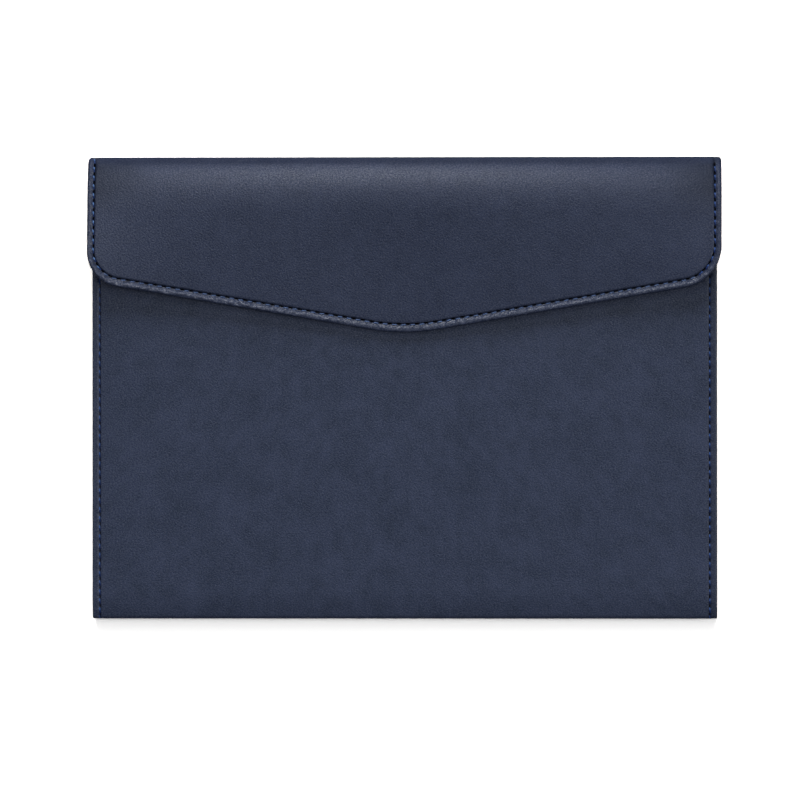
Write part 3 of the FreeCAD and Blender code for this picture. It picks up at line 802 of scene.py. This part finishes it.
def lattice(inset):
    """Points inside the panel, in rows that are closer over the crease."""
    close = np.arange(0, FLAT_START, RUN_STEP)
    rows = np.concatenate((close, np.arange(FLAT_START, outline[:, 1].max(), PANEL_STEP)))
    columns = np.linspace(-HALF_FLAP + inset, HALF_FLAP - inset, PANEL_COLUMNS)[1:-1]
    x, s = (grid.ravel() for grid in np.meshgrid(columns, rows))
    half = outline[:len(outline) // 2 + 1][::-1]
    edge_s = np.interp(np.abs(x), -half[:, 0], half[:, 1])
    return np.column_stack((x, s))[s < edge_s - inset * SLOPE_ROOM - RIM_ROOM]


def fill_panel(flat, count, inset):
    """New points inside the last loop, and triangles between them and that loop."""
    first = len(flat) - count
    border = [(index, (index + 1) % count) for index in range(count)]
    wanted = np.vstack((flat[first:], lattice(inset)))
    made = delaunay_2d_cdt([tuple(map(float, point)) for point in wanted], border, [], 1, SAME_POINT)
    panel, triangles, sources = made[0], made[2], made[3]
    index_of, extra = {}, []
    for index, source in enumerate(sources):
        if source and source[0] < count:
            index_of[index] = first + source[0]
        else:
            index_of[index] = len(flat) + len(extra)
            extra.append(tuple(panel[index]))
    return extra, turned_over([index_of[corner] for corner in triangle] for triangle in triangles)


print("points of the panel:", len(lattice(sections[-1, 0, 0])))

# %% Shells of the flap
CORNER_LIFT = (4.6 * MM, 3.2 * MM)
LIFT_POWER = 4
LIFT_LEAD = 20 * MM
POINT_DIP = 1.0 * MM


def rest_depth(x, s, depth):
    """Depths with the corners standing off and the point pressed down."""
    down = smooth_step(s, FLAT_START - LIFT_LEAD, FLAT_START + LEAD_Y - (TOP - FLAP_SIDE))
    lift = np.where(x < 0, *CORNER_LIFT) * (x / HALF_FLAP) ** LIFT_POWER * down
    dip = POINT_DIP * (1 - smooth_step(np.abs(x), 0, HALF_FLAP / 2)) * down
    return depth - lift + dip * (1 - depth / WALL)


def build_flap_shell(name, section, material, outer):
    """A shell of the flap's outline with these edge sections and a filled panel."""
    loops, count = section.shape[:2]
    inset, depth = section[:, :, 0], section[:, :, 1]
    flat = (outline[None] + inward[None] * inset[:, :, None]).reshape(-1, 2)
    extra, panel_faces = fill_panel(flat, count, inset[-1, 0])
    faces = grid_faces(loops, count) + panel_faces
    flat = np.vstack((flat, extra))
    edge_depth = worn_depth(depth) if outer else depth
    depths = np.concatenate((edge_depth.ravel(), np.full(len(extra), depth[-1, 0])))
    tone = np.zeros(len(flat))
    if outer:
        tone[:loops * count] = edge_tone()
        tone += crease_and_band_painted_shade(flat, (VALLEY + 1) * count)
    points = flap_path.roll(flat[:, 0], flat[:, 1], rest_depth(*flat.T, depths))
    return make_piece(name, points, faces if outer else turned_over(faces), flat, material, tone)


# %% Flap leather
crease_start = (0, TOP, CREASE_Z)
crease_tilt = 2 * math.atan2(FLAP_Z - CREASE_Z - CREASE_RADIUS, CREASE_Y - LEAD_Y)


def crease_end(depth):
    """Where the tight bend of the top crease ends, at a depth behind the outer face."""
    radius = CREASE_RADIUS - depth
    return (0, CREASE_Y + radius * math.sin(crease_tilt), CREASE_Z + radius * math.cos(crease_tilt))


flap = build_flap_shell("flap_leather_shell", sections, flap_leather, True)
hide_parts("flap_leather", "flap_crease", "spine_leather", "flap_board")
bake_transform(flap)
print("flap:", len(flap.data.polygons), "faces")

# %% [markdown]
# ## Linings
# The flap and the pocket have one thin cloth each behind the leather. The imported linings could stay, but
# their pieces would part at the creases. So each lining is one sheet on the inner side of the same folds.

# %% Flap lining
LINING_EDGE = edge_section((1.6, 2.80), (0.85, 2.82), (0.95, 2.90), (2.0, 2.92), (12.0, 2.92))

lining_sections = np.repeat(LINING_EDGE[:, None], len(outline), axis=1)
flap_lining = build_flap_shell("flap_lining_sheet", lining_sections, microfibre, False)
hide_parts("flap_lining", "flap_crease_lining", "spine_lining")
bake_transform(flap_lining)
print("flap lining:", len(flap_lining.data.polygons), "faces")

# %% Pocket lining
CLOTH_STEP = 2 * MM
CLOTH_COLUMNS = 30
CREASE_ROWS = 24
BEND_ROWS = 30
BEND_LEAD = 4 * MM
BEND_LENGTH = 16 * MM
CREASE_LEAD = 2 * MM
CLOTH_MARGIN = 1 * MM


def build_pocket_lining():
    crease_s = lining_path.s_at(CREASE_Y - CREASE_LEAD, LINING_DEPTH)
    bend_s = lining_path.s_at(lining_low.y + BEND_LEAD, lining_high.z)
    even = np.linspace(0, lining_path.length, math.ceil(lining_path.length / CLOTH_STEP) + 1)
    at_crease = np.linspace(crease_s, lining_path.length, CREASE_ROWS)
    at_bend = np.linspace(bend_s, bend_s + BEND_LENGTH, BEND_ROWS)
    s = np.unique(np.concatenate((even, at_crease, at_bend)))
    widen = smooth_step(s, lining_path.s_at(HEM_Y + CREASE_LEAD, LINING_DEPTH), crease_s)
    half = (HALF_LINING + (HALF_FLAP - CLOTH_MARGIN - HALF_LINING) * widen)[:, None]
    grid = (np.linspace(-1, 1, CLOTH_COLUMNS) * half, s[:, None], WALL - LINING_DEPTH)
    return rolled_sheet("pocket_lining_sheet", lining_path, grid, microfibre, False)


pocket = build_pocket_lining()
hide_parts("pocket_lining", "back_crease_lining")
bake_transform(pocket)
print("pocket lining:", len(pocket.data.polygons), "faces")

# %% [markdown]
# ## Stitches
# A stitch is a short piece of two-ply thread that dives into a needle hole at each end. A curve with a bevel
# could make it, but its plies wouldn't twist. So it is two thin tubes that turn round each other, with few
# faces because there are hundreds, and a hole is a dark flat lens that paints the shade of the needle hole.


# %% Tube
def tube(centres, radius, sides):
    """A closed round tube along a line of points that runs mainly along X."""
    angle = np.linspace(0, 2 * math.pi, sides, endpoint=False)
    ring = np.column_stack((np.zeros(sides), np.cos(angle), np.sin(angle)))
    points = (centres[:, None, :] + ring[None] * radius[:, None, None]).reshape(-1, 3)
    caps = [tuple(range(sides))[::-1], tuple(range(len(points) - sides, len(points)))]
    return points, grid_faces(len(centres), sides, closed=True) + caps


# %% Stitch shape
STRAND_SHARE = 0.29
TWIST_SHARE = 0.21
TWIST_TURN = 1.3 * math.pi
DIVE_POWER = 3.2
DIVE_SHARE = 1.7
THIN_SHARE = 0.25
STRAND_RINGS, STRAND_SIDES = 8, 5


def stitch_shape(length, thickness, rise, slant, lit):
    """Two twisted strands, and the tone of painted shade, which is 0 over the lit span."""
    share = np.linspace(-1, 1, STRAND_RINGS)
    twist = thickness * TWIST_SHARE
    points, faces = [], []
    for phase in (0, math.pi):
        turn = share * TWIST_TURN + phase
        x = share * length / 2
        y = np.sin(turn) * twist + x * math.tan(slant)
        z = rise * (1 - np.abs(share) ** DIVE_POWER * DIVE_SHARE) + np.cos(turn) * twist
        radius = thickness * STRAND_SHARE * (1 - THIN_SHARE * share ** 4)
        made, quads = tube(np.column_stack((x, y, z)), radius, STRAND_SIDES)
        before = len(made) * len(points)
        faces += [tuple(corner + before for corner in face) for face in quads]
        points.append(made)
    points = np.vstack(points)
    place = points[:, 0] / length * 2
    painted_shade_tone = 1 - smooth_step(place, *lit[:2]) * (1 - smooth_step(place, *lit[2:]))
    return points, faces, painted_shade_tone


# %% Hole shape and templates
HOLE_RINGS, HOLE_SIDES = 4, 9
HOLE_TIP = 0.02


def hole_shape(length, width, height):
    """A flat lens for a needle hole."""
    climb = np.linspace(0, math.pi / 2, HOLE_RINGS)[:, None]
    angle = np.linspace(0, 2 * math.pi, HOLE_SIDES, endpoint=False)
    spread = np.cos(climb) + HOLE_TIP
    lift = np.broadcast_to(np.sin(climb) * height, (HOLE_RINGS, HOLE_SIDES))
    lens = (np.cos(angle) * spread * length / 2, np.sin(angle) * spread * width / 2, lift)
    points = np.column_stack([part.ravel() for part in lens])
    cap = tuple(range(len(points) - HOLE_SIDES, len(points)))
    return points, grid_faces(HOLE_RINGS, HOLE_SIDES, closed=True) + [cap], np.zeros(len(points))


def template(name, shape, material):
    """An object with one shape, which the seam tree copies."""
    points, faces, painted_shade_tone = shape
    return make_piece(name, points, faces, points[:, :2], material, painted_shade_tone)


# Lit spans along a stitch from -1 to 1, with -1 at the upper end of a side stitch: beyond them the thread gets
# painted shade, so a side stitch is lit only on its upper part, as the light comes from above.
side_lit = (-1.0, -0.7, -0.45, 0.2)
point_lit = (-0.95, -0.6, 0.6, 0.95)
side_size = (3.2 * MM, 0.70 * MM, 0.55 * MM, math.radians(7))
point_size = (2.7 * MM, 0.66 * MM, 0.45 * MM, math.radians(6))
hole_size = (2.1 * MM, 1.0 * MM, 0.20 * MM)
side_stitch = template("side_stitch", stitch_shape(*side_size, side_lit), flap_thread)
point_stitch = template("point_stitch", stitch_shape(*point_size, point_lit), flap_thread)
hole = template("hole_template", hole_shape(*hole_size), painted_hole_shade)
templates = (side_stitch, point_stitch, hole)
print("faces of the templates:", [len(shape.data.polygons) for shape in templates])

# %% [markdown]
# ## Seam tree
# A seam is the same stitch again and again, a little uneven. A loop in Python could place the copies, but
# Geometry Nodes do it in one go. The tree sets a copy on each point, turns it by two directions and a seeded
# sway, makes the copies real and gives them their thread.

# %% Seam tree
# A Random Value node has a set of sockets for each kind of value; these are the ones for numbers.
SWAY_MIN, SWAY_MAX, SWAY_VALUE = 2, 3, 1
SEAM_INPUTS = {
    "Geometry": "NodeSocketGeometry",
    "Stitch": "NodeSocketObject",
    "Thread": "NodeSocketMaterial",
    "Sway": "NodeSocketFloat",
    "Seed": "NodeSocketInt",
}


def seam_tree():
    """One copy of an object on each point, turned to the seam, with a little sway."""
    tree = bpy.data.node_groups.new("seam", "GeometryNodeTree")
    for name, kind in SEAM_INPUTS.items():
        tree.interface.new_socket(name, in_out="INPUT", socket_type=kind)
    tree.interface.new_socket("Geometry", in_out="OUTPUT", socket_type="NodeSocketGeometry")
    node = functools.partial(add_node, tree)
    given = node("NodeGroupInput").outputs
    vector = {"data_type": "FLOAT_VECTOR"}
    along = node("GeometryNodeInputNamedAttribute", vector, {"Name": "along"}).outputs[0]
    out = node("GeometryNodeInputNamedAttribute", vector, {"Name": "out"}).outputs[0]
    axes = {"primary_axis": "Z", "secondary_axis": "X"}
    facing = node("FunctionNodeAxesToRotation", axes, {"Primary Axis": out, "Secondary Axis": along})
    minus = node("ShaderNodeMath", {"operation": "MULTIPLY"}, {0: given["Sway"], 1: -1.0})
    limits = {SWAY_MIN: minus.outputs[0], SWAY_MAX: given["Sway"], "Seed": given["Seed"]}
    sway = node("FunctionNodeRandomValue", {"data_type": "FLOAT"}, limits).outputs[SWAY_VALUE]
    spin = node("FunctionNodeAxisAngleToRotation", {}, {"Axis": (0, 0, 1), "Angle": sway}).outputs[0]
    both = {"Rotation": facing.outputs[0], "Rotate By": spin}
    turned = node("FunctionNodeRotateRotation", {"rotation_space": "LOCAL"}, both).outputs[0]
    shape = node("GeometryNodeObjectInfo", {"transform_space": "ORIGINAL"}, {"Object": given["Stitch"]})
    sown = {"Points": given["Geometry"], "Instance": shape.outputs["Geometry"], "Rotation": turned}
    copies = node("GeometryNodeInstanceOnPoints", {}, sown).outputs[0]
    whole = node("GeometryNodeRealizeInstances", {}, {"Geometry": copies}).outputs[0]
    dressed = node("GeometryNodeSetMaterial", {}, {"Geometry": whole, "Material": given["Thread"]})
    node("NodeGroupOutput", {}, {"Geometry": dressed.outputs[0]})
    return tree


seam_nodes = seam_tree()
print("seam tree:", len(seam_nodes.nodes), "nodes")


# %% Sewing
def sew(name, places, shape, material, sway, seed):
    """Run the seam tree on a row of places and keep the result as a plain mesh."""
    position, along, out = places
    mesh = bpy.data.meshes.new(name + "_points")
    mesh.from_pydata([tuple(point) for point in position], [], [])
    for label, values in (("along", along), ("out", out)):
        attribute = mesh.attributes.new(label, "FLOAT_VECTOR", "POINT")
        attribute.data.foreach_set("vector", values.astype(np.float32).ravel())
    carrier = add_object(name + "_points", mesh)
    modifier = carrier.modifiers.new("seam", "NODES")
    modifier.node_group = seam_nodes
    values = {"Stitch": shape, "Thread": material, "Sway": sway, "Seed": seed}
    for item in seam_nodes.interface.items_tree:
        if item.in_out == "INPUT" and item.name in values:
            modifier[item.identifier] = values[item.name]
    graph = bpy.context.evaluated_depsgraph_get()
    made = bpy.data.meshes.new_from_object(carrier.evaluated_get(graph))
    bpy.data.objects.remove(carrier)
    made.name = name
    made.polygons.foreach_set("use_smooth", [True] * len(made.polygons))
    return add_object(name, made)


# %% [markdown]
# ## Seam lines
# The sides, the hem and the flap have a seam each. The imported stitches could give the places, but the shells
# differ a little from the solids. So a seam is a function from a distance to a place, and small steps give
# its directions.

# %% Side seams
HOLE_OFFSET = 0.9 * MM
BACK_SINK = 0.35 * MM
SEAM_START = 1.5 * MM
SEAM_END = 1 * MM
PROBE = 0.05 * MM


def directions(place_at, distance):
    """Places on a seam, with the directions along it and out of the leather."""
    here = place_at(distance, 0.0)
    along = place_at(distance + PROBE, 0.0) - place_at(distance - PROBE, 0.0)
    out = place_at(distance, -PROBE) - here
    return here, unit(along), unit(out)


def wrap_seam(side, shift):
    """One side seam, from the mouth round the bottom and up to the spine."""
    back_turn = (wrap_path.s_at(BOTTOM, FOLD_RADIUS), wrap_path.s_at(BOTTOM + FOLD_RADIUS, 0))
    first = math.ceil(wrap_path.s_at(HEM_Y - SEAM_START, FRONT_Z) / STITCH_PITCH)
    last = math.floor((wrap_path.length - SEAM_END) / STITCH_PITCH)

    def place_at(s, lower):
        thick = smooth_step(s, *wrap_widens)
        inset, depth = np.outer(SLEEVE_EDGE[VALLEY], 1 - thick) + np.outer(SPINE_EDGE[VALLEY], thick)
        sunk = depth + BACK_SINK * smooth_step(s, *back_turn) + lower
        return wrap_path.roll(side * (wrap_half_width(s) - inset - shift * HOLE_OFFSET), s, sunk)

    return directions(place_at, (np.arange(first, last) + shift) * STITCH_PITCH)


print("stitches in a side seam:", len(wrap_seam(1, 0.0)[0]))

# %% Seams of the hem and the flap
SEAM_MARGIN = 2 * MM
HOLE_RISE = 0.6 * MM
THREAD_OFFSET = 0.4 * MM
SIDE_SHARE = 0.4
HALF_PITCH = 0.5


def mouth_seam(shift):
    """The hem's seam, along X just below the mouth."""
    mouth_s = wrap_path.s_at(HEM_Y + HEM_RADIUS - SLEEVE_EDGE[VALLEY, 0], FRONT_Z)
    count = math.floor(2 * (HALF_LINING - SEAM_MARGIN) / STITCH_PITCH)

    def place_at(x, lower):
        return wrap_path.roll(x, np.full_like(x, mouth_s), np.full_like(x, lower))

    return directions(place_at, (np.arange(count) + HALF_PITCH + shift - count / 2) * STITCH_PITCH)


def flap_seam(shift):
    """The seam round the flap: down one side, along the point and up the other."""
    inwards = shift * HOLE_OFFSET * (SIDE_SHARE + (1 - SIDE_SHARE) * along_point)
    slide = inwards - (HALF_PITCH - shift) * THREAD_OFFSET * along_point
    line = outline + inward * (sections[VALLEY, :, 0] + slide)[:, None]
    half_count = math.floor((seam_s[-1] - SEAM_MARGIN) / STITCH_PITCH)

    def place_at(s, lower):
        x, run, depth = (np.interp(s, seam_s, column) for column in (*line.T, sections[VALLEY, :, 1]))
        return flap_path.roll(x, run, rest_depth(x, run, depth) - shift * HOLE_RISE + lower)

    return directions(place_at, (np.arange(-half_count, half_count) + shift) * STITCH_PITCH)


print("stitches in the hem and the flap:", len(mouth_seam(0.0)[0]), len(flap_seam(0.0)[0]))

# %% [markdown]
# ## Sew the seams
# The thread catches more light down the flap's left side than elsewhere. A brighter lamp would light the
# leather too. So each stretch is a piece with its own shade of thread, laid along the folds of the leather
# below.

# %% Stitches and holes
STEEP = 0.6
HOLE_SWAY = math.radians(4)
STITCH_SWAY = math.radians(3)
wrap_bend = {"start": (0, CREASE_Y, 0), "end": (0, TOP, CREASE_RADIUS)}
flap_bend = {"start": crease_start, "end": crease_end(0)}


def sew_pair(name, rows, node, bodies, limits, colour, seed):
    """The stitches of a seam and the needle holes between them."""
    place, along, out = rows(0.0)
    along = np.where(along[:, 1:2] > 0, -along, along)
    steep = np.abs(along[:, 1]) > STEEP
    pieces = [sew(name + "_holes", rows(HALF_PITCH), hole, painted_hole_shade, HOLE_SWAY, seed)]
    kinds = [("_sides", side_stitch, steep, colour), ("_point", point_stitch, ~steep, colour)]
    if colour is flap_thread:
        right = steep & (place[:, 0] > 0)
        kinds = [
            ("_sides", side_stitch, steep & ~right, flap_thread),
            ("_right", side_stitch, right, side_thread),
            ("_point", point_stitch, ~steep, point_thread),
        ]
    for label, shape, chosen, thread in kinds:
        if chosen.any():
            row = (place[chosen], along[chosen], out[chosen])
            pieces.append(sew(name + label, row, shape, thread, STITCH_SWAY, seed + len(pieces)))
    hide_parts(node)
    for piece in pieces:
        if limits:
            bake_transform(piece)
        else:
            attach(piece, bodies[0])
    print(name, [len(piece.data.polygons) for piece in pieces], "faces")


# %% All seams
for side, side_name, seed in ((-1, "left", 10), (1, "right", 30)):
    sew_pair(
        f"{side_name}_seam", functools.partial(wrap_seam, side), f"{side_name}_seam_stitches",
        ("sleeve", "spine"), wrap_bend, side_thread, seed,
    )
sew_pair("mouth_seam", mouth_seam, "mouth_stitches", ("sleeve",), None, side_thread, seed=50)
sew_pair("flap_seam", flap_seam, "flap_stitches", ("spine", "flap"), flap_bend, flap_thread, seed=60)
for shape in templates:
    bpy.data.objects.remove(shape)

# %% [markdown]
# ## Inner pieces
# Gussets, padding, a board and magnets fill the sleeve. They could be made again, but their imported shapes
# are right and hardly show. So they only get their surfaces.

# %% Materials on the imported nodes
node_materials = {
    "left_gusset": gusset_leather,
    "right_gusset": gusset_leather,
    "front_padding": foam,
    "back_padding": foam,
    "spine_board": fibre_board,
}
for name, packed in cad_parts.items():
    material = magnet_steel if "magnet" in name else node_materials.get(name)
    if material is not None:
        packed.data.materials.clear()
        packed.data.materials.append(material)
print("packed nodes shown:", [name for name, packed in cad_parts.items() if not packed.hide_render])

# %% [markdown]
# ## Camera
# The sleeve is seen square from the front. An orthographic camera would do, but a very long lens still shows
# a trace of depth. So the camera looks down on the flap from where one pixel covers a known length.

# %% Camera
PIXEL = 0.4411 * MM
PICTURE_PIXELS = 800
AIM_PIXELS = (-4.1, -12.4)
LENS = 360.0
SENSOR = 36.0
YAW = math.radians(2.0)
ROLL = math.radians(-0.03)

distance = PICTURE_PIXELS * PIXEL * LENS / SENSOR
camera_data = bpy.data.cameras.new("camera")
camera_data.lens = LENS
camera_data.sensor_width = SENSOR
camera_data.dof.use_dof = False
camera = add_object("camera", camera_data)
aim = Vector((AIM_PIXELS[0] * PIXEL, AIM_PIXELS[1] * PIXEL, FLAP_Z))
camera.location = aim + distance * Vector((math.sin(YAW), 0, math.cos(YAW)))
camera.rotation_euler = (0, YAW, ROLL)
bpy.context.scene.camera = camera
print(f"camera {distance:.3f} m above the flap")

# %% [markdown]
# ## Lamps
# The sleeve is lit softly from above its top edge: the roll takes a band of light, and the bottom edge drops
# a short shadow. One lamp could do both, but the band wants a small lamp and the shadow a wide one. So a
# small lamp that only reflections see makes the gleam, wide ones give diffuse light, and weak ones fill the
# shadows. A share is a part of the light that makes white paper white.

# %% Lamps
WARM = (1.07, 1.005, 0.935)
LIT_PLACE = Vector((0, CREASE_Y - 3 * MM, 0))


def soft_lamp(name, tilt, turn, reach, size, share, rays="both", colour=(1, 1, 1)):
    """A soft lamp at this reach from the top roll, tilted from the vertical and turned from +Y."""
    lean, heading = math.radians(tilt), math.radians(turn)
    away = Vector((math.sin(lean) * math.sin(heading), math.sin(lean) * math.cos(heading), math.cos(lean)))
    data = bpy.data.lights.new(name, "AREA")
    data.shape = "RECTANGLE"
    data.size, data.size_y = size
    data.color = colour
    data.energy = share * (math.pi * reach) ** 2 / math.cos(lean)
    lamp = add_object(name, data)
    lamp.location = away * reach + LIT_PLACE
    lamp.rotation_euler = away.to_track_quat("Z", "Y").to_euler()
    lamp.visible_glossy = rays != "diffuse"
    lamp.visible_diffuse = rays != "glossy"
    print(f"{name}: {data.energy:.1f} W")


soft_lamp("top_gleam", tilt=31, turn=-6, reach=0.65, size=(0.15, 0.16), share=0.155, rays="glossy")
soft_lamp("top_wide", tilt=22, turn=0, reach=2.4, size=(1.5, 1.5), share=0.13, rays="diffuse")
soft_lamp("top_soft", tilt=73, turn=0, reach=2.4, size=(1.4, 1.3), share=0.575, rays="diffuse", colour=WARM)
soft_lamp("low_fill", tilt=48, turn=180, reach=2.4, size=(1.4, 0.8), share=0.075, rays="diffuse")
soft_lamp("right_fill", tilt=32, turn=90, reach=5.0, size=(0.8, 2.4), share=0.13)
soft_lamp("left_fill", tilt=28, turn=-90, reach=2.4, size=(0.4, 1.2), share=0.03)

# %% [markdown]
# ## Background and floor
# The sleeve lies on white paper, and only its soft shadow shows. A white world would wash out the sheen. So
# the world and the floor are white to the camera and dimmer to everything else.

# %% World
AMBIENT = 0.11
SHEEN_CUT = 0.7
WHITE = (1, 1, 1, 1)

air = Shader("studio", "worlds")
dimmed = AMBIENT - air.ray("Is Glossy Ray") * (AMBIENT * SHEEN_CUT)
seen = {"Color": WHITE, "Strength": dimmed.math("MAXIMUM", air.ray("Is Camera Ray"))}
bpy.context.scene.world = air.finish(air.node("Background", {}, seen), "OutputWorld")
bpy.context.scene.view_settings.view_transform = "Standard"
print("world:", bpy.context.scene.world.name)

# %% Floor
PAPER_SEEN = ((2.56, 2.55, 2.535, 1), (2.62, 2.61, 2.595, 1))
PAPER_BOUNCE = (0.50, 0.50, 0.53, 1)
PAPER_SHEEN = (0.11, 0.12, 0.15, 1)
PAPER_MOTTLE = 60 * MM
HALF_FLOOR = 3.0
FLOOR_DROP = 0.05 * MM


def floor_material():
    shader = Shader("floor_white")
    white = shader.mix(shader.noise(shader.object_place(), PAPER_MOTTLE), *PAPER_SEEN)
    bounce = shader.mix(shader.ray("Is Glossy Ray"), PAPER_BOUNCE, PAPER_SHEEN)
    lit, dim = (shader.node("BsdfDiffuse", {}, {"Color": colour}) for colour in (white, bounce))
    choice = {0: shader.ray("Is Camera Ray"), 1: dim, 2: lit}
    return shader.finish(shader.node("MixShader", {}, choice))


corners = np.array([(-1, -1, 0), (1, -1, 0), (1, 1, 0), (-1, 1, 0)]) * HALF_FLOOR
floor = make_piece("floor", corners - (0, 0, FLOOR_DROP), [(0, 1, 2, 3)], corners[:, :2], floor_material())
print("floor:", 2 * HALF_FLOOR, "m wide")
